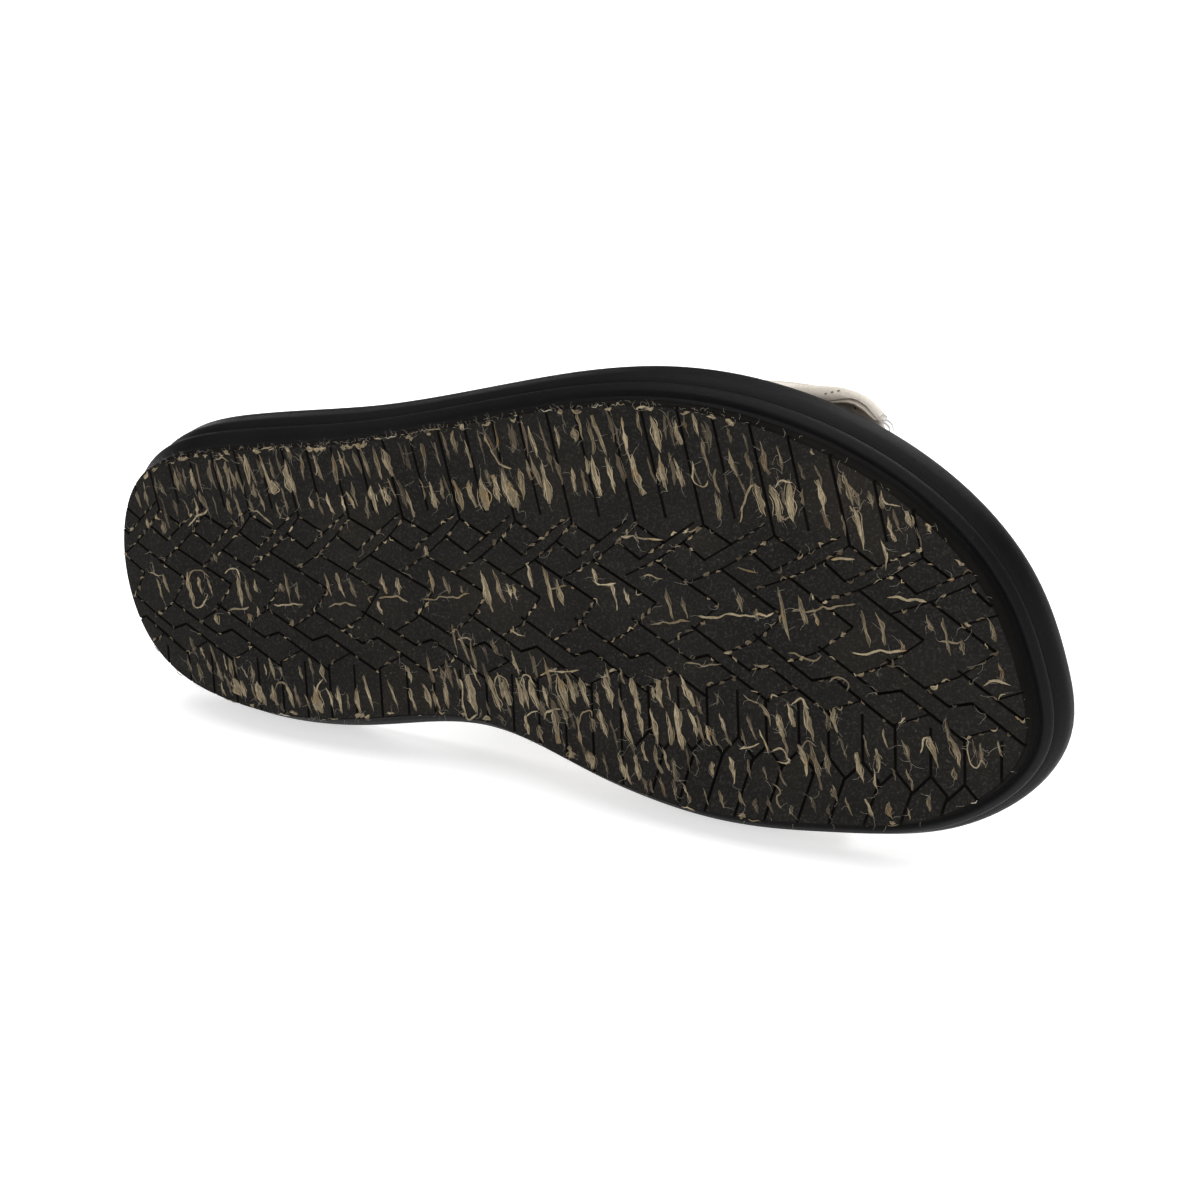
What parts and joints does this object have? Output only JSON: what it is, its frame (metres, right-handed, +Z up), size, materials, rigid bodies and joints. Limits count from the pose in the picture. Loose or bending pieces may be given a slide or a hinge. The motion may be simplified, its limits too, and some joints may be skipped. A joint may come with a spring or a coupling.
{
  "type": "footbed sandal",
  "caption": "Right-foot footbed slide sandal with a black rubber sole, yarn-flecked tread and a wide beige leather band over the instep, lying on its side.",
  "frame": {"origin": "bottom centre of the bounding box of the sandal lying on its medial side", "axes": "+X from heel to toe, +Y from the tread towards the band, +Z up from the floor"},
  "size_m": [0.2738, 0.0908, 0.1101],
  "materials": {
    "tread_rubber": "matte, with beige yarn set into it",
    "sidewall_rubber": "satin",
    "insole_suede": "suede",
    "band_leather": "nubuck"
  },
  "bodies": {
    "root": {"outsole": "tread_rubber", "midsole": "sidewall_rubber", "footbed": "sidewall_rubber", "insole": "insole_suede", "upper": "band_leather"}
  },
  "joints": []
}
